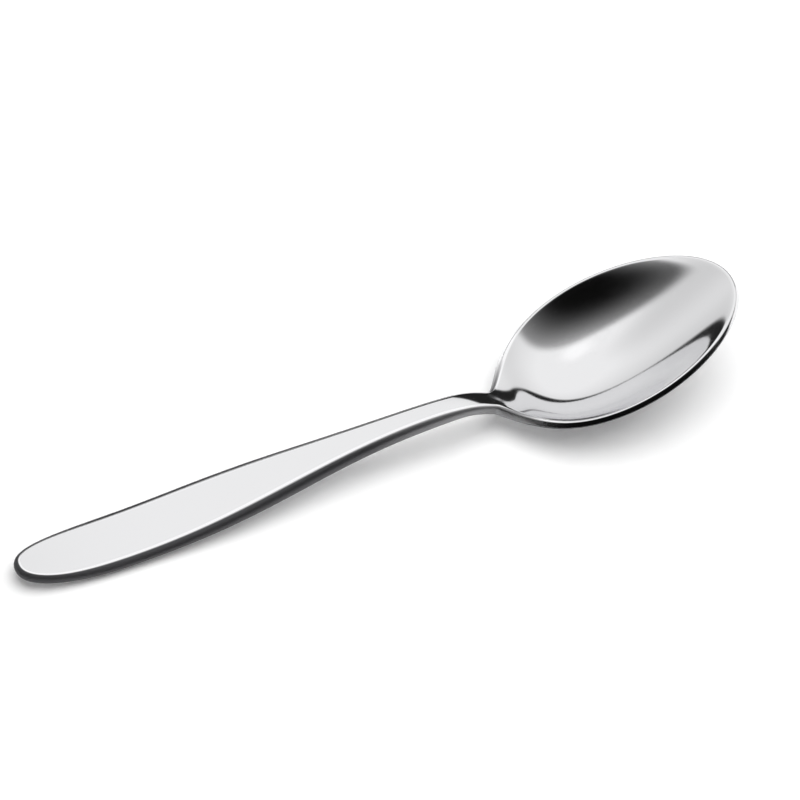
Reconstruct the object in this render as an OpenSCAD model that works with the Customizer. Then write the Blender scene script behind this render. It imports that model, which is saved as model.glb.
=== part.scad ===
// Coffee spoon, pressed from one steel blank and lying on a table.
// X runs along the spoon from the handle to the tip of the bowl, Y across it, Z up from the table.
// The origin is on the table, under the middle of the spoon's length.
// The steel is a curved sheet. Its edge is a half circle on the handle and squarer on the bowl's rim.
// A distance named "_at" is measured along X from the end of that sheet in the handle.

/* [Whole spoon] */
// Length over all
spoon_len = 130; // [120:1:140]

/* [Bowl] */
// Length from the heel to the tip
bowl_len = 41.5; // [38:0.1:44]
// Greatest width
bowl_w = 30; // [26:0.1:33]
// Depth of the sheet below the rim at the widest place
bowl_depth = 7.6; // [6:0.1:9]
// How much deeper the hollow is towards the heel than towards the tip, 0 for the same
bowl_skew = 0.25; // [0:0.01:0.4]
// How slowly the hollow begins at the heel, 1 for a paraboloid and less for a fuller heel
heel_full = 0.97; // [0.8:0.01:1]
// How much the oval narrows to the tip, 0 for an ellipse
bowl_egg = 0.15; // [0.05:0.01:0.3]
// Upward tilt of the rim from heel to tip, degrees
rim_tilt = 16.6; // [12:0.1:19]
// Thickness of the steel at the rim
rim_t = 1.2; // [0.8:0.1:1.4]
// Squareness of the upper half of the rim's edge, 2 for a half circle
rim_square = 3.5; // [2:0.5:6]
// Squareness of its lower half
rim_sharp = 9; // [2:0.5:10]

/* [Neck] */
// Width at the slimmest place
neck_w = 5; // [4.2:0.1:6]
// Thickness of the steel
neck_t = 2.8; // [2:0.1:3.2]
// Crown of the neck's top, in the middle of its width
neck_crown = 0.06; // [0:0.01:0.12]
// Distance from the slimmest place to the heel of the bowl
neck_len = 10; // [8:0.5:14]
// Distance from the top of the neck's arch to the heel of the bowl
arch_len = 12.2; // [11:0.1:16]
// Rise from the end of the handle to the top of the arch
arch_rise = 4.4; // [3:0.1:6]
// Run past the arch in which the neck has dropped one millimetre
neck_fall = 6.8; // [5.5:0.1:8]
// Size of the fillet between the neck's sides and the bowl
heel_fillet = 9.7; // [7:0.1:11]
// Height over which the falling neck bends into the rim
heel_bend = 5.4; // [4:0.1:7]

/* [Handle] */
// Greatest width
handle_w = 11.5; // [9:0.1:14]
// Length of the rounded end, up to the widest place
end_len = 19; // [12:0.5:24]
// Squareness of the rounded end, 2 for an ellipse
end_square = 2.4; // [2:0.1:3]
// Thickness of the steel at the end
end_t = 2; // [1.6:0.1:2.6]
// Upward turn of the end, degrees
end_turn = 9.2; // [4:0.1:11]
// Extra thickness of the rounded back, in the middle of its width
back_crown = 0.4; // [0:0.1:0.8]

/* [Hidden] */
// Squareness of an edge that is a half circle
half_circle = 2;
// Reach of the rim's edge beyond the sheet, seen from above where the bowl's wall rises at 45 degrees
rim_reach = rim_t / 2 * 2 ^ (1 / 2 - 1 / rim_sharp);
// Places along the sheet
tip_at = spoon_len - end_t / 2 - rim_reach;
heel_at = tip_at + rim_reach - bowl_len;
neck_at = heel_at - neck_len;
arch_at = heel_at - arch_len;
bowl_mid = (heel_at + tip_at) / 2;
bowl_half = (tip_at - heel_at) / 2;
// Where the egg is widest, as a share of half its length from its middle, and its value there
egg_wide = (1 - sqrt(1 + 3 * bowl_egg ^ 2)) / (3 * bowl_egg);
egg_top = (1 - egg_wide ^ 2) * (1 - bowl_egg * egg_wide);
bowl_at = bowl_mid + egg_wide * bowl_half;
// Half widths of the sheet, inside its edge
bowl_half_w = bowl_w / 2 - rim_reach;
handle_half_w = (handle_w - end_t) / 2;
neck_half_w = (neck_w - neck_t) / 2;
// Stretch over which the steel grows thicker along the handle
thicken = [15, 50];
// Stretch over which it grows thinner again into the bowl
thin = [heel_at - 22, heel_at + 14];
// Stretch over which its edge grows from a half circle to the rim's shape
sharpen = [neck_at, heel_at + 8];
// Where the crown of the neck's top begins, is greatest and ends
crown_from = heel_at - 14;
crown_top = heel_at - 3;
crown_to = heel_at + 2;
// Where the neck is parted from the handle and from the bowl
handle_cut = 60;
bowl_cut = heel_at - 2;
// Steps across the sheet, round its edge, and along each piece
across = 16;
round_edge = 6;
handle_steps = 28;
neck_steps = 16;
bowl_steps = 46;
// Points in one section, and the steps for slopes and for the lowest points
ring = 2 * (across + round_edge);
dx = 0.01;
lift_step = 0.25;
steel = "silver";

// Smooth step from 0 at a to 1 at b
function ease(a, b, x) =
    let (t = max(0, min(1, (x - a) / (b - a))))
    t ^ 3 * (10 - 15 * t + 6 * t * t);

// The larger of two values, rounded over where they differ by less than k
function blend_max(a, b, k) = max(a, b) + k / 6 * max(1 - abs(a - b) / k, 0) ^ 3;

// Thickness of the steel along the spoon
function thick(x) =
    end_t + (neck_t - end_t) * ease(thicken[0], thicken[1], x)
    + (rim_t - neck_t) * ease(thin[0], thin[1], x);

// Squareness of the edge along the spoon: a half circle on the stem, and the given value on the rim
function edge_square(x, rim) = half_circle + (rim - half_circle) * ease(sharpen[0], sharpen[1], x);

// Extra thickness of the back, on the handle and neck only
function crown(x) = back_crown * (ease(0, end_len, x) - ease(neck_at, heel_at, x));

// Rise of the neck's top in the middle of its width
function top_crown(x) =
    neck_crown * (ease(crown_from, crown_top, x) - ease(crown_top, crown_to, x));

// Outline seen from above: a round-ended taper that flows into an egg
function stem_half(x) =
    let (taper = handle_half_w + (neck_half_w - handle_half_w) * ease(end_len, neck_at, x))
    let (u = max(0, 1 - x / end_len))
    taper * (1 - u ^ end_square) ^ (1 / end_square);

function egg_sq(x) =
    let (u = (x - bowl_mid) / bowl_half)
    bowl_half_w ^ 2 / egg_top * (1 - u * u) * (1 - bowl_egg * u);

function half_sq(x) =
    x < bowl_at ? blend_max(stem_half(x) ^ 2, egg_sq(x), heel_fillet ^ 2) : max(0, egg_sq(x));

function half_w(x) = sqrt(half_sq(x));

// Greatest depth that the hollow could have at x
function deep(x) = bowl_depth * (1 - bowl_skew * (x - bowl_at) / bowl_half);

// Share of its full opening to which the bowl has opened out of the neck, from 0 to 1 at its widest
function open_share(x) =
    let (stem_sq = stem_half(x) ^ 2)
    max(0, (half_sq(x) - stem_sq) / (bowl_half_w ^ 2 - stem_sq)) ^ heel_full;

// Depth of the hollow for each square millimetre of half width; the neck's crown counts as less than none
function hollow_rate(x) =
    x < end_len ? 0
    : x < bowl_at ? (deep(x) * open_share(x) - top_crown(x)) / half_sq(x)
    : deep(x) / bowl_half_w ^ 2;

// Depth of the hollow in the middle of the width
function hollow(x) = hollow_rate(x) * half_sq(x);

// Side view: the handle's long curve over the arch, and the straight rim
function arch_line(x) =
    let (t = min(1, x / arch_at))
    let (past = max(0, x - arch_at) / neck_fall)
    (3 - 2 * t) * t ^ 2 * arch_rise - t * (1 - t) ^ 2 * arch_at * tan(end_turn) - past ^ 3;

function rim_line(x) = (x - bowl_at) * tan(rim_tilt);

// Lifts that set the back of the handle and the bottom of the bowl on the table
handle_lift = -min([for (x = [0 : lift_step : handle_cut]) arch_line(x) - thick(x) / 2 - crown(x)]);
bowl_lift = -min([for (x = [heel_at : lift_step : tip_at]) rim_line(x) - hollow(x) - thick(x) / 2]);

function edge_z(x) = blend_max(handle_lift + arch_line(x), bowl_lift + rim_line(x), heel_bend);

// Point of the sheet at x and at the share v of its half width
function sheet(x, v) = [x, v * half_w(x), edge_z(x) - hollow(x) * (1 - v * v)];

// Rates along X of the edge's height, the hollow's depth and the square of the half width
function rates(x) =
    let (a = max(0, x - dx), b = min(tip_at, x + dx))
    [edge_z(b) - edge_z(a), hollow(b) - hollow(a), half_sq(b) - half_sq(a)] / (b - a);

// Slopes of the sheet along X and Y
function slopes(x, v) =
    let (rate = rates(x))
    [
        rate[0] - rate[1] * (1 - v * v) - hollow_rate(x) * v * v * rate[2],
        2 * hollow_rate(x) * v * half_w(x)
    ];

function unit(a) = a / norm(a);

function normal(x, v) =
    let (slope = slopes(x, v))
    unit([-slope.x, -slope.y, 1]);

// Direction along the sheet, out of its edge on the side v = 1 or v = -1
function outward(x, v) =
    let (n = unit([-rates(x)[2] / 2, v * half_w(x)]))
    unit([n.x, n.y, n * slopes(x, v)]);

// One closed section: top from left to right, right edge, back from right to left, left edge
function section(x) =
    let (r = thick(x) / 2)
    let (shares = [for (i = [-across : 2 : across]) sin(90 * i / across)])
    let (turns = [for (i = [1 : round_edge - 1]) 90 - 180 * i / round_edge])
    concat(
        [for (v = shares) sheet(x, v) + r * normal(x, v)],
        [for (a = turns) edge_point(x, 1, r, a)],
        [for (v = shares) sheet(x, -v) - (r + crown(x) * (1 - v * v)) * normal(x, -v)],
        [for (a = turns) edge_point(x, -1, r, -a)]
    );

// Point of the edge, at the angle a from its outermost line
function edge_point(x, v, r, a) =
    let (power = 2 / edge_square(x, a > 0 ? rim_square : rim_sharp))
    let (up = sign(a) * abs(sin(a)) ^ power)
    sheet(x, v) + r * (up * normal(x, v) + cos(a) ^ power * outward(x, v));

// At a rounded end of the spoon a section closes to one arc: the first of the points that meet there
function welded(k) =
    k <= across ? across
    : k < across + round_edge ? k
    : k <= 2 * across + round_edge ? across + round_edge
    : 3 * across + 2 * round_edge - k;

// Skin of a piece between its sections, then the flat faces where it is parted from its neighbours
module loft(places) {
    last = len(places) - 1;
    points = [for (x = places) each section(x)];
    function closes(i) = places[i] <= 0 || places[i] >= tip_at;
    function id(i, k) = i * ring + (closes(i) ? welded(k % ring) : k % ring);
    skin = [
        for (i = [0 : last - 1], k = [0 : ring - 1])
            each [
                [id(i, k), id(i + 1, k + 1), id(i + 1, k)],
                [id(i, k), id(i, k + 1), id(i + 1, k + 1)]
            ]
    ];
    start = closes(0) ? [] : [for (t = end_face()) [id(0, t[0]), id(0, t[2]), id(0, t[1])]];
    finish = closes(last) ? [] : [for (t = end_face()) [id(last, t[0]), id(last, t[1]), id(last, t[2])]];
    solid_faces = [
        for (t = concat(skin, start, finish))
            if (t[0] != t[1] && t[1] != t[2] && t[2] != t[0]) t
    ];
    polyhedron(points, solid_faces);
}

// Triangles that fill one section
function end_face() =
    let (back = 2 * across + round_edge)
    concat(
        [for (k = [0 : across - 1]) each [[k, k + 1, back - k - 1], [k, back - k - 1, back - k]]],
        [for (k = [1 : round_edge - 1]) [across, across + k, across + k + 1]],
        [for (k = [0 : round_edge - 2]) [0, back + k, back + k + 1]]
    );

module piece(places) {
    color(steel)
        translate([(end_t - spoon_len) / 2, 0, 0])
            loft(places);
}

module handle() {
    piece([for (i = [0 : handle_steps]) handle_cut * (1 - cos(90 * i / handle_steps))]);
}

module neck() {
    piece([for (i = [0 : neck_steps]) handle_cut + (bowl_cut - handle_cut) * i / neck_steps]);
}

module bowl() {
    piece([
        for (i = [0 : bowl_steps])
            bowl_cut + (tip_at - bowl_cut) * (1 - cos(180 * i / bowl_steps)) / 2
    ]);
}

handle();
neck();
bowl();
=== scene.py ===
"""Coffee spoon of polished steel, lying on a white table."""
import math

import bpy
import numpy as np
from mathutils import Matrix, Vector


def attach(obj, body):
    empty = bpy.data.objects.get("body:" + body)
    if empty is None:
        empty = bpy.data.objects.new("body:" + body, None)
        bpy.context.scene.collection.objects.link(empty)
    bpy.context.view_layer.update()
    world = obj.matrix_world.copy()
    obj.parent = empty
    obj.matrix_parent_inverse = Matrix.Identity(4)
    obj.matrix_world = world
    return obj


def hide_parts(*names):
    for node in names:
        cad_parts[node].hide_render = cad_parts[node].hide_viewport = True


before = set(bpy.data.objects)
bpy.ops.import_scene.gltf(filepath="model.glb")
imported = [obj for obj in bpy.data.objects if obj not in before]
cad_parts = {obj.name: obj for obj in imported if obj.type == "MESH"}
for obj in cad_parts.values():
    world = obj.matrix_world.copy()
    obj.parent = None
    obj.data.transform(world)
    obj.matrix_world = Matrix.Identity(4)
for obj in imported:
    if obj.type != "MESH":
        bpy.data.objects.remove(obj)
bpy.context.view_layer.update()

MM = 0.001

# Driving dimensions of the spoon, millimetres and degrees
SPOON_LEN = 130
BOWL_LEN = 41.5
BOWL_W = 30
BOWL_DEPTH = 7.6
BOWL_SKEW = 0.25
HEEL_FULL = 0.97
BOWL_EGG = 0.15
RIM_TILT = 16.6
RIM_T = 1.2
RIM_SQUARE = 3.5
RIM_SHARP = 9
NECK_W = 5
NECK_T = 2.8
NECK_LEN = 10
ARCH_LEN = 12.2
ARCH_RISE = 4.4
NECK_FALL = 6.8
HEEL_FILLET = 9.7
HEEL_BEND = 5.4
HANDLE_W = 11.5
END_LEN = 19
END_SQUARE = 2.4
END_T = 2
END_TURN = 9.2
BACK_CROWN = 0.4

# Fine forms that show only in the reflections, and differ a little from the solids: the rise of the
# neck's top, the share of its slope that the bowl's wall loses at the rim, the power by which it grows
# towards the rim, and the reach of the handle's edges beyond a half circle
NECK_CROWN = 0.08
LIP = 0.26
LIP_POWER = 4
EDGE_SPREAD = 0.6

# Squareness of an edge that is a half circle
HALF_CIRCLE = 2

# Reach of the rim's edge beyond the sheet, seen from above where the bowl's wall rises at 45 degrees
RIM_REACH = RIM_T / 2 * 2 ** (1 / 2 - 1 / RIM_SHARP)

# Places along the sheet of steel, from its end in the handle
TIP_AT = SPOON_LEN - END_T / 2 - RIM_REACH
HEEL_AT = TIP_AT + RIM_REACH - BOWL_LEN
NECK_AT = HEEL_AT - NECK_LEN
ARCH_AT = HEEL_AT - ARCH_LEN
BOWL_MID = (HEEL_AT + TIP_AT) / 2
BOWL_HALF = (TIP_AT - HEEL_AT) / 2
EGG_WIDE = (1 - math.sqrt(1 + 3 * BOWL_EGG ** 2)) / (3 * BOWL_EGG)
EGG_TOP = (1 - EGG_WIDE ** 2) * (1 - BOWL_EGG * EGG_WIDE)
BOWL_AT = BOWL_MID + EGG_WIDE * BOWL_HALF

# Half widths of the sheet, between its edges; the bowl's is squared
BOWL_HALF_SQ = (BOWL_W / 2 - RIM_REACH) ** 2
HANDLE_HALF_W = (HANDLE_W - END_T) / 2
NECK_HALF_W = (NECK_W - NECK_T) / 2

# Stretches over which the sheet's thickness, the bowl's lip, the edge and the neck's crown change
THICKEN = (15, 50)
THIN = (HEEL_AT - 22, HEEL_AT + 14)
LIP_SPAN = (HEEL_AT, TIP_AT)
SHARPEN = (NECK_AT, HEEL_AT + 8)
CROWN_FROM = HEEL_AT - 14
CROWN_TOP = HEEL_AT - 7
CROWN_TO = HEEL_AT + 2

# Where the three pieces are parted
HANDLE_CUT = 60
BOWL_CUT = HEEL_AT - 2

# Steps of the mesh across the sheet, round its edge, and along each piece
ACROSS = 64
ROUND_EDGE = 24
HANDLE_STEPS = 150
NECK_STEPS = 80
BOWL_STEPS = 200
RING = 2 * (ACROSS + ROUND_EDGE)

# Steps along X for finding a slope, and for finding the lowest point
SLOPE_STEP = 0.01
LIFT_STEP = 0.25

# The stem's ground edge, rougher and painted dark as shade, fades in between these shares of the way out
# from a face to the outermost line, and the rim's painted shade between these shares of the way down from
# the middle of its edge to its underside
GROUND_AND_SHADE_EDGE = (0.05, 0.6)
RIM_SHADE_CORNER = (0.2, 0.5)

# Share of the ground finish and its painted shade left at the neck, 1 at the handle's end
NECK_GROUND_AND_SHADE = 0.68

# Stretch in which the stem's ground finish and painted shade give way to the painted shade on the rim's
# lower corner
GROUND_TO_RIM_SHADE = (HEEL_AT - 2, HEEL_AT + 8)

# Steel: colours of the polished faces, of the corners beside them with a painted highlight, and of the
# ground edge with painted shade, with the shares of the ground finish at which they hold, then the
# roughness of faces and edge, and the polishing marks
POLISHED_COLOUR = (0.8, 0.8, 0.81, 1)
HIGHLIGHT_COLOUR = (0.94, 0.94, 0.95, 1)
HIGHLIGHT_SPAN = (0.03, 0.38)
EDGE_SHADE_COLOUR = (0.11, 0.11, 0.115, 1)
DARK_SHADE_FROM = 0.75
POLISHED_ROUGH = (0.05, 0.12)
EDGE_ROUGH = 0.65
MARK_SCALE = (60, 900, 900)
MARK_DETAIL = 4
MARK_BUMP = 0.02
MARK_DEPTH = 0.00002

# Camera, from the photo's edges: turned from the Y axis, raised, and looking at a place near the neck
CAMERA_TURN = 23.9
CAMERA_RISE = 47.8
CAMERA_LOOK = Vector((6.5, 6.43, 5.4)) * MM
CAMERA_AWAY = 787.7 * MM
CAMERA_LENS = 211.5
CAMERA_CLIP = 0.05

# Stage, metres and watts; directions are degrees to the right of the camera and above the table
WHITE = (1, 1, 1, 1)
FLOOR_HALF = 3.0
FLOOR_COLOUR = (0.95, 0.95, 0.95, 1)
FLOOR_GLOW = 0.06
KEY_AZ = 118
KEY_EL = 78
KEY_AWAY = 0.9
KEY_SIZE = 1.3
KEY_POWER = 11.4

# Strength of the surroundings as a light, and as the steel shows them, level with the table and high up.
# High up begins where the Z of a direction reaches the last value.
FILL_LIGHT = 0.2
SHOWN_LIGHT = (0.67, 1.04)
FULL_HEIGHT = 0.78

# Rays that carry what steel or glass shows
MIRROR_RAYS = ("Is Glossy Ray", "Is Transmission Ray")

# Cards that only the steel shows. The front one makes the dark patch in the bowl, the back one the dark
# line along its near wall and the wedge at its heel, and the side one darkens the lobe near its tip. The
# glow lights the middle of the bowl, and the veil greys its tip. A core is a place across the card and
# two half sizes, as shares of the card's own half sizes, and outside it the card thins out.
CARD_STEPS = (128, 64)
CARD_AWAY = 2.5
GLOW_AWAY = 2.6
VEIL_AWAY = 2.7
WHOLE_CARD = (0, 1, 1)
FADE_POWER = 1.5
CARDS = (
    dict(name="front_card", az=-20, half_az=101, el=12, half_el=55.5, lean=18,
         square=2, soft=0.13, shade=0.003, core=(-0.2, 0.82, 0.665), thin=1.75),
    dict(name="back_card", az=177.5, half_az=48.5, el=0, half_el=35, lean=-8,
         square=2.5, soft=0.12, shade=0.018),
    dict(name="side_card", az=75, half_az=48, el=-10, half_el=31, lean=-19,
         square=5, soft=0.12, shade=0.02),
    dict(name="glow_card", az=5, half_az=75, el=74, half_el=15, lean=0,
         square=2, soft=0.9, shade=1.2, away=GLOW_AWAY),
    dict(name="veil_card", az=-85, half_az=50, el=37, half_el=38, lean=0,
         square=2, soft=0.95, shade=0.76, away=VEIL_AWAY),
)


def ease(a, b, x):
    """Smooth step from 0 at a to 1 at b."""
    t = np.clip((x - a) / (b - a), 0, 1)
    return t ** 3 * (10 - 15 * t + 6 * t * t)


def blend_max(a, b, k):
    """The larger of two values, rounded over where they differ by less than k."""
    return np.maximum(a, b) + k / 6 * np.maximum(1 - np.abs(a - b) / k, 0) ** 3


def unit(a):
    """Vectors made one long."""
    return a / np.linalg.norm(a, axis=-1, keepdims=True)


def thick(x):
    """Thickness of the steel along the spoon."""
    handle = END_T + (NECK_T - END_T) * ease(*THICKEN, x)
    return handle + (RIM_T - NECK_T) * ease(*THIN, x)


def edge_square(x, rim):
    """Squareness of the edge along the spoon: a half circle on the stem, and the given one on the rim."""
    return HALF_CIRCLE + (rim - HALF_CIRCLE) * ease(*SHARPEN, x)


def crown(x):
    """Extra thickness of the back, on the handle and neck only."""
    return BACK_CROWN * (ease(0, END_LEN, x) - ease(NECK_AT, HEEL_AT, x))


def top_crown(x):
    """Rise of the neck's top in the middle of its width."""
    return NECK_CROWN * (ease(CROWN_FROM, CROWN_TOP, x) - ease(CROWN_TOP, CROWN_TO, x))


def spread(x):
    """Reach of the edges beyond a half circle, on the handle only."""
    return EDGE_SPREAD * (ease(0, END_LEN, x) - ease(END_LEN, NECK_AT, x))


def stem_half(x):
    """Half width of the round-ended taper of handle and neck, between its edges."""
    taper = HANDLE_HALF_W + (NECK_HALF_W - HANDLE_HALF_W) * ease(END_LEN, NECK_AT, x)
    u = np.maximum(0, 1 - x / END_LEN)
    return taper * (1 - u ** END_SQUARE) ** (1 / END_SQUARE) - spread(x)


def egg_sq(x):
    """Square of the half width of the bowl's egg."""
    u = (x - BOWL_MID) / BOWL_HALF
    return BOWL_HALF_SQ / EGG_TOP * (1 - u * u) * (1 - BOWL_EGG * u)


def half_sq(x):
    """Square of the half width of the whole outline."""
    heel = blend_max(stem_half(x) ** 2, egg_sq(x), HEEL_FILLET ** 2)
    return np.where(x < BOWL_AT, heel, np.maximum(0, egg_sq(x)))


def deep(x):
    """Greatest depth that the hollow could have."""
    return BOWL_DEPTH * (1 - BOWL_SKEW * (x - BOWL_AT) / BOWL_HALF)


def hollow_rate(x):
    """Depth of the hollow for each square millimetre of half width, below 0 on the neck's crown."""
    inside = np.clip(x, END_LEN, BOWL_AT)
    stem_sq = stem_half(inside) ** 2
    share = np.maximum(0, (half_sq(inside) - stem_sq) / (BOWL_HALF_SQ - stem_sq)) ** HEEL_FULL
    heel = (deep(inside) * share - top_crown(inside)) / half_sq(inside)
    return np.where(x < END_LEN, 0, np.where(x < BOWL_AT, heel, deep(x) / BOWL_HALF_SQ))


def hollow(x):
    """Depth of the hollow in the middle of the width."""
    return hollow_rate(x) * half_sq(x)


def lip(x):
    """Share of the wall's slope that is lost at the rim."""
    return LIP * ease(*LIP_SPAN, x)


def arch_line(x):
    """Side view of the handle's long curve over the arch."""
    t = np.minimum(1, x / ARCH_AT)
    past = np.maximum(0, x - ARCH_AT) / NECK_FALL
    turn = t * (1 - t) ** 2 * ARCH_AT * math.tan(math.radians(END_TURN))
    return (3 - 2 * t) * t ** 2 * ARCH_RISE - turn - past ** 3


def rim_line(x):
    """Side view of the straight rim."""
    return (x - BOWL_AT) * math.tan(math.radians(RIM_TILT))


def lift(lowest, start, end):
    """Height that sets the lowest point of a stretch of the spoon on the table."""
    return -lowest(np.arange(start, end, LIFT_STEP)).min()


HANDLE_LIFT = lift(lambda x: arch_line(x) - thick(x) / 2 - crown(x), 0, HANDLE_CUT)
BOWL_LIFT = lift(lambda x: rim_line(x) - hollow(x) - thick(x) / 2, HEEL_AT, TIP_AT)


def edge_z(x):
    """Height of the sheet's edges."""
    return blend_max(HANDLE_LIFT + arch_line(x), BOWL_LIFT + rim_line(x), HEEL_BEND)


def rate(f, x):
    """Rate of a function of x."""
    a = np.maximum(0, x - SLOPE_STEP)
    b = np.minimum(TIP_AT, x + SLOPE_STEP)
    return (f(b) - f(a)) / (b - a)


def slopes(x, v):
    """Slopes of the sheet along X and Y, without the lip's own slow growth along X."""
    flare = lip(x) * np.abs(v) ** LIP_POWER
    steep = 1 - flare + LIP_POWER / 2 * lip(x) * np.abs(v) ** (LIP_POWER - 2) * (1 - v * v)
    deepening = rate(hollow, x) * (1 - v * v) * (1 - flare)
    widening = hollow_rate(x) * v * v * rate(half_sq, x) * steep
    slope_x = rate(edge_z, x) - (deepening + widening)
    slope_y = 2 * hollow_rate(x) * v * np.sqrt(half_sq(x)) * steep
    return slope_x, slope_y


def sheet(x, v):
    """Points of the middle of the steel, and its normals there; v is -1 and 1 at the edges."""
    depth = hollow(x) * (1 - v * v) * (1 - lip(x) * np.abs(v) ** LIP_POWER)
    points = np.stack([x, v * np.sqrt(half_sq(x)), edge_z(x) - depth], -1)
    slope_x, slope_y = slopes(x, v)
    return points, unit(np.stack([-slope_x, -slope_y, np.ones_like(x)], -1))


def outward(x, side):
    """Direction along the sheet, out of its edge on the side 1 or -1."""
    v = np.full_like(x, side)
    plan = unit(np.stack([-rate(half_sq, x) / 2, side * np.sqrt(half_sq(x))], -1))
    slope_x, slope_y = slopes(x, v)
    rise = plan[..., 0] * slope_x + plan[..., 1] * slope_y
    return unit(np.concatenate([plan, rise[..., None]], -1))


def edge_turn():
    """Angles round an edge from its upper to its lower face, without the faces themselves."""
    return np.linspace(math.pi / 2, -math.pi / 2, ROUND_EDGE + 1)[1:-1]


def rings(places):
    """Closed sections: top from right to left, left edge, back from left to right, right edge."""
    x = places[:, None]
    r = (thick(x) / 2)[..., None]
    v = np.sin(np.linspace(-math.pi / 2, math.pi / 2, ACROSS + 1))[None, :]
    grid_x, grid_v = np.broadcast_arrays(x, v)
    middle, up = sheet(grid_x, grid_v)
    back = r + (crown(x) * (1 - v * v))[..., None]
    turn = edge_turn()[None, :, None]

    def edge(column, side, angle):
        upper = edge_square(x, RIM_SQUARE)[..., None]
        lower = edge_square(x, RIM_SHARP)[..., None]
        power = 2 / np.where(angle > 0, upper, lower)
        rise = np.sign(angle) * np.abs(np.sin(angle)) ** power
        reach = (r + spread(x)[..., None]) * np.cos(angle) ** power
        return middle[:, [column]] + r * rise * up[:, [column]] + reach * outward(x, side)

    top = middle + r * up
    under = (middle - back * up)[:, ::-1]
    return np.concatenate([top, edge(-1, 1, turn), under, edge(0, -1, -turn)], 1)


def ground_and_painted_light(places):
    """Share of the ground finish, with its painted shade and painted highlight, at each point: on the
    stem's edges, and on the lower corner of the rim, where only shade is painted.
    """
    turn = edge_turn()
    side = ease(*GROUND_AND_SHADE_EDGE, np.cos(turn))
    # The rim's lower corner is painted dark as shade, and made rougher, so that it doesn't show the bright
    # table
    corner = ease(*RIM_SHADE_CORNER, -np.sin(turn))
    face = np.zeros(ACROSS + 1)
    rim = ease(*GROUND_TO_RIM_SHADE, places)
    stem = (1 - (1 - NECK_GROUND_AND_SHADE) * np.minimum(1, places / NECK_AT)) * (1 - rim)
    share = np.outer(stem, np.concatenate([face, side, face, side]))
    share += np.outer(rim, np.concatenate([face, corner, face, corner[::-1]]))
    return share.ravel()


def welded(k):
    """Point that stands for point k of a section that closes to one arc at an end of the spoon."""
    if k <= ACROSS:
        return ACROSS
    if k < ACROSS + ROUND_EDGE:
        return k
    if k <= 2 * ACROSS + ROUND_EDGE:
        return ACROSS + ROUND_EDGE
    return 3 * ACROSS + 2 * ROUND_EDGE - k


def skin_faces(first, last, places):
    """Faces between the sections first to last, with the flat faces where the pieces are parted."""
    def index(i, k):
        closes = places[i] <= 0 or places[i] >= TIP_AT
        return i * RING + (welded(k % RING) if closes else k % RING)

    faces = []
    for i in range(first, last):
        for k in range(RING):
            quad = [index(i, k), index(i + 1, k), index(i + 1, k + 1), index(i, k + 1)]
            face = list(dict.fromkeys(quad))
            if len(face) > 2:
                faces.append(face)
    if places[first] > 0:
        faces.append([index(first, k) for k in range(RING)])
    if places[last] < TIP_AT:
        faces.append([index(last, k) for k in reversed(range(RING))])
    return faces


def mesh_from(name, points, faces):
    """A smooth-shaded mesh."""
    mesh = bpy.data.meshes.new(name)
    mesh.from_pydata(points.tolist(), [], faces)
    mesh.polygons.foreach_set("use_smooth", np.ones(len(faces), bool))
    mesh.update()
    return mesh


def keep_values(mesh, name, values):
    """Store one value at each point of a mesh, for its material."""
    mesh.attributes.new(name, "FLOAT", "POINT").data.foreach_set("value", values)


def cosine_steps(start, end, steps, turn):
    """Places that crowd towards the start, and with a turn of pi towards the end too."""
    s = 1 - np.cos(np.linspace(0, turn, steps + 1))
    return start + (end - start) * s / s[-1]


def skin_normals(points, faces):
    """Normals at the points of the unbroken skin."""
    whole = mesh_from("skin", points, faces)
    normals = np.empty(3 * len(points), np.float32)
    whole.vertices.foreach_get("normal", normals)
    bpy.data.meshes.remove(whole)
    return normals.reshape(-1, 3)


def make_piece(node, points, normals, edge, faces, steel):
    """The faces of one piece with their own points, in place of a node of the solids."""
    used = np.unique(np.concatenate([np.array(f) for f in faces]))
    place_of = np.zeros(len(points), int)
    place_of[used] = np.arange(len(used))
    mesh = mesh_from("steel_" + node, points[used], [place_of[f].tolist() for f in faces])
    mesh.normals_split_custom_set_from_vertices(normals[used].tolist())
    keep_values(mesh, "edge", edge[used])
    mesh.materials.append(steel)
    piece = bpy.data.objects.new("steel_" + node, mesh)
    bpy.context.scene.collection.objects.link(piece)
    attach(piece, "root")
    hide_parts(node)


def make_spoon(steel):
    """Three pieces cut from one unbroken skin, with its normals, so that no seam shows."""
    handle = cosine_steps(0, HANDLE_CUT, HANDLE_STEPS, math.pi / 2)
    neck = np.linspace(HANDLE_CUT, BOWL_CUT, NECK_STEPS + 1)
    bowl = cosine_steps(BOWL_CUT, TIP_AT, BOWL_STEPS, math.pi)
    places = np.concatenate([handle, neck[1:], bowl[1:]])
    shift = np.array([(END_T - SPOON_LEN) / 2, 0, 0])
    points = (rings(places).reshape(-1, 3) + shift) * MM
    normals = skin_normals(points, skin_faces(0, len(places) - 1, places))
    # Share of the ground finish, which also carries the painted shade and painted highlight in the steel's
    # colour
    edge = ground_and_painted_light(places)
    cuts = [0, HANDLE_STEPS, HANDLE_STEPS + NECK_STEPS, len(places) - 1]
    for node, first, last in zip(("handle", "neck", "bowl"), cuts, cuts[1:]):
        make_piece(node, points, normals, edge, skin_faces(first, last, places), steel)


def make_material(name):
    """A new material, and its tree of nodes."""
    material = bpy.data.materials.new(name)
    material.use_nodes = True
    return material, material.node_tree


def kept_value(tree, name):
    """The value that a mesh stores at each of its points."""
    value = tree.nodes.new("ShaderNodeAttribute")
    value.attribute_name = name
    return value.outputs["Fac"]


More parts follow.
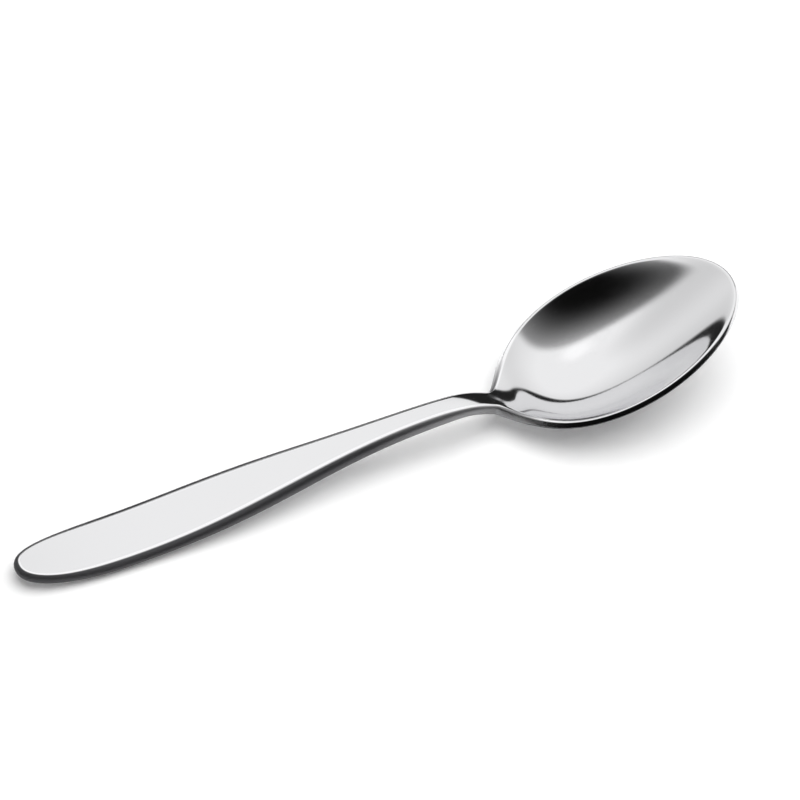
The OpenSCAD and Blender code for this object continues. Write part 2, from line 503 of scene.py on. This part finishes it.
def steel_colour(tree, edge):
    """Polished on the faces, a painted highlight on the corners beside them, and painted shade on the
    ground edge.
    """
    colour = tree.nodes.new("ShaderNodeValToRGB")
    stops = colour.color_ramp.elements
    stops[0].color = POLISHED_COLOUR
    stops[1].position = DARK_SHADE_FROM
    stops[1].color = EDGE_SHADE_COLOUR
    # The corners beside the faces are painted bright as a highlight
    for share in HIGHLIGHT_SPAN:
        stops.new(share).color = HIGHLIGHT_COLOUR
    tree.links.new(edge, colour.inputs["Fac"])
    return colour.outputs["Color"]


def polishing_marks(tree):
    """Fine marks drawn out along the spoon."""
    place = tree.nodes.new("ShaderNodeTexCoord")
    stretch = tree.nodes.new("ShaderNodeMapping")
    stretch.inputs["Scale"].default_value = MARK_SCALE
    marks = tree.nodes.new("ShaderNodeTexNoise")
    marks.inputs["Scale"].default_value = 1
    marks.inputs["Detail"].default_value = MARK_DETAIL
    tree.links.new(place.outputs["Object"], stretch.inputs["Vector"])
    tree.links.new(stretch.outputs["Vector"], marks.inputs["Vector"])
    return marks.outputs["Fac"]


def steel_roughness(tree, edge, marks):
    """Nearly none on the faces, a little uneven with the marks, and much on the ground edge."""
    face = tree.nodes.new("ShaderNodeMapRange")
    face.inputs["To Min"].default_value = POLISHED_ROUGH[0]
    face.inputs["To Max"].default_value = POLISHED_ROUGH[1]
    tree.links.new(marks, face.inputs["Value"])
    rough = tree.nodes.new("ShaderNodeMix")
    rough.inputs["B"].default_value = EDGE_ROUGH
    tree.links.new(edge, rough.inputs["Factor"])
    tree.links.new(face.outputs["Result"], rough.inputs["A"])
    return rough.outputs["Result"]


def mark_relief(tree, marks):
    """Faint relief of the marks."""
    bump = tree.nodes.new("ShaderNodeBump")
    bump.inputs["Strength"].default_value = MARK_BUMP
    bump.inputs["Distance"].default_value = MARK_DEPTH
    tree.links.new(marks, bump.inputs["Height"])
    return bump.outputs["Normal"]


def make_steel():
    """Mirror-polished stainless steel with faint polishing marks and a duller ground edge, painted dark as
    shade.
    """
    material, tree = make_material("polished_steel")
    shader = tree.nodes["Principled BSDF"]
    shader.inputs["Metallic"].default_value = 1
    edge = kept_value(tree, "edge")
    marks = polishing_marks(tree)
    tree.links.new(steel_colour(tree, edge), shader.inputs["Base Color"])
    tree.links.new(steel_roughness(tree, edge, marks), shader.inputs["Roughness"])
    tree.links.new(mark_relief(tree, marks), shader.inputs["Normal"])
    return material


def staged(name, mesh, material):
    """Put a mesh of the stage into the scene."""
    thing = bpy.data.objects.new(name, mesh)
    mesh.materials.append(material)
    bpy.context.scene.collection.objects.link(thing)
    return thing


def ray_is(tree, *kinds):
    """1 for a ray of one of these kinds, 0 for any other."""
    path = tree.nodes.new("ShaderNodeLightPath")
    found = path.outputs[kinds[0]]
    for kind in kinds[1:]:
        either = tree.nodes.new("ShaderNodeMath")
        either.operation = "MAXIMUM"
        tree.links.new(found, either.inputs[0])
        tree.links.new(path.outputs[kind], either.inputs[1])
        found = either.outputs[0]
    return found


def make_floor():
    """A white table that keeps the spoon's shadow, and shows a little lighter than its lamp makes it."""
    corners = np.array([(-1, -1, 0), (1, -1, 0), (1, 1, 0), (-1, 1, 0)]) * FLOOR_HALF
    material, tree = make_material("white_table")
    shader = tree.nodes["Principled BSDF"]
    shader.inputs["Base Color"].default_value = FLOOR_COLOUR
    shader.inputs["Roughness"].default_value = 1
    shader.inputs["Specular IOR Level"].default_value = 0
    shader.inputs["Emission Color"].default_value = WHITE
    glow = tree.nodes.new("ShaderNodeMath")
    glow.operation = "MULTIPLY"
    glow.inputs[1].default_value = FLOOR_GLOW
    tree.links.new(ray_is(tree, "Is Camera Ray", *MIRROR_RAYS), glow.inputs[0])
    tree.links.new(glow.outputs[0], shader.inputs["Emission Strength"])
    staged("floor", mesh_from("floor", corners, [[0, 1, 2, 3]]), material)


def shown_light(tree):
    """Strength of the surroundings in the steel, less near the table."""
    way = tree.nodes.new("ShaderNodeTexCoord")
    parts = tree.nodes.new("ShaderNodeSeparateXYZ")
    shown = tree.nodes.new("ShaderNodeMapRange")
    shown.inputs["From Max"].default_value = FULL_HEIGHT
    shown.inputs["To Min"].default_value = SHOWN_LIGHT[0]
    shown.inputs["To Max"].default_value = SHOWN_LIGHT[1]
    tree.links.new(way.outputs["Generated"], parts.inputs[0])
    tree.links.new(parts.outputs["Z"], shown.inputs["Value"])
    return shown.outputs["Result"]


def make_world():
    """Surroundings that are white to the camera, graded in the steel, and a weak light on the table."""
    world = bpy.data.worlds.new("studio")
    world.use_nodes = True
    tree = world.node_tree
    strength = tree.nodes.new("ShaderNodeMapRange")
    strength.inputs["To Min"].default_value = FILL_LIGHT
    tree.links.new(ray_is(tree, *MIRROR_RAYS), strength.inputs["Value"])
    tree.links.new(shown_light(tree), strength.inputs["To Max"])
    white = tree.nodes.new("ShaderNodeMapRange")
    white.inputs["To Max"].default_value = 1
    tree.links.new(ray_is(tree, "Is Camera Ray"), white.inputs["Value"])
    tree.links.new(strength.outputs["Result"], white.inputs["To Min"])
    background = tree.nodes["Background"]
    background.inputs["Color"].default_value = WHITE
    tree.links.new(white.outputs["Result"], background.inputs["Strength"])
    bpy.context.scene.world = world


def direction(az, el):
    """Way from the spoon into the studio: degrees to the right of the camera and above the table."""
    turn, rise = math.radians(az - CAMERA_TURN), math.radians(el)
    return Vector((math.sin(turn) * math.cos(rise), -math.cos(turn) * math.cos(rise), math.sin(rise)))


def make_camera():
    """The camera, upright, at the photo's place."""
    away = direction(0, CAMERA_RISE)
    data = bpy.data.cameras.new("camera")
    data.lens = CAMERA_LENS
    data.clip_start = CAMERA_CLIP
    camera = bpy.data.objects.new("camera", data)
    camera.location = CAMERA_LOOK + away * CAMERA_AWAY
    camera.rotation_mode = "QUATERNION"
    camera.rotation_quaternion = (-away).to_track_quat("-Z", "Y")
    bpy.context.scene.collection.objects.link(camera)
    bpy.context.scene.camera = camera


def make_key_light():
    """A broad soft lamp, almost overhead and a little to the right, which the steel doesn't show."""
    data = bpy.data.lights.new("key", "AREA")
    data.energy = KEY_POWER
    data.shape = "DISK"
    data.size = KEY_SIZE
    lamp = bpy.data.objects.new("key", data)
    away = direction(KEY_AZ, KEY_EL)
    lamp.location = away * KEY_AWAY
    lamp.rotation_mode = "QUATERNION"
    lamp.rotation_quaternion = away.to_track_quat("Z", "Y")
    lamp.visible_glossy = False
    bpy.context.scene.collection.objects.link(lamp)


def card_cover(u, v, square, soft, core, thin):
    """How much a card hides at a place: less outside its core, and nothing at its rim."""
    core_at, core_wide, core_tall = core
    out = (abs(u) ** square + abs(v) ** square) ** (1 / square)
    inner = math.hypot((u - core_at) / core_wide, v / core_tall)
    through = thin * max(0, inner - 1) ** FADE_POWER
    return (1 - min(1, through)) * (1 - ease(1 - soft, 1, out))


def card_material(name, shade):
    """An even shade, clear where the card's cover is low."""
    material, tree = make_material(name)
    tree.nodes.remove(tree.nodes["Principled BSDF"])
    plain = tree.nodes.new("ShaderNodeEmission")
    plain.inputs["Color"].default_value = (shade, shade, shade, 1)
    clear = tree.nodes.new("ShaderNodeBsdfTransparent")
    mix = tree.nodes.new("ShaderNodeMixShader")
    tree.links.new(kept_value(tree, "cover"), mix.inputs[0])
    tree.links.new(clear.outputs[0], mix.inputs[1])
    tree.links.new(plain.outputs[0], mix.inputs[2])
    tree.links.new(mix.outputs[0], tree.nodes["Material Output"].inputs["Surface"])
    return material


def make_card(name, az, half_az, el, half_el, lean, square, soft, shade,
              core=WHOLE_CARD, thin=0, away=CARD_AWAY):
    """A bent card round the spoon, raised by its lean at its right end, and seen only in the steel."""
    across, up = CARD_STEPS
    row = up + 1
    points, cover = [], []
    for i in range(across + 1):
        for j in range(row):
            u, v = 2 * i / across - 1, 2 * j / up - 1
            points.append(away * direction(az + half_az * u, el + half_el * v + lean * u))
            cover.append(card_cover(u, v, square, soft, core, thin))
    faces = [
        [i * row + j, (i + 1) * row + j, (i + 1) * row + j + 1, i * row + j + 1]
        for i in range(across)
        for j in range(up)
    ]
    mesh = mesh_from(name, np.array(points), faces)
    keep_values(mesh, "cover", cover)
    card = staged(name, mesh, card_material(name, shade))
    card.visible_camera = False
    card.visible_diffuse = False
    card.visible_shadow = False


make_camera()
make_spoon(make_steel())
make_floor()
make_world()
make_key_light()
for card_values in CARDS:
    make_card(**card_values)
bpy.context.scene.view_settings.view_transform = "Standard"
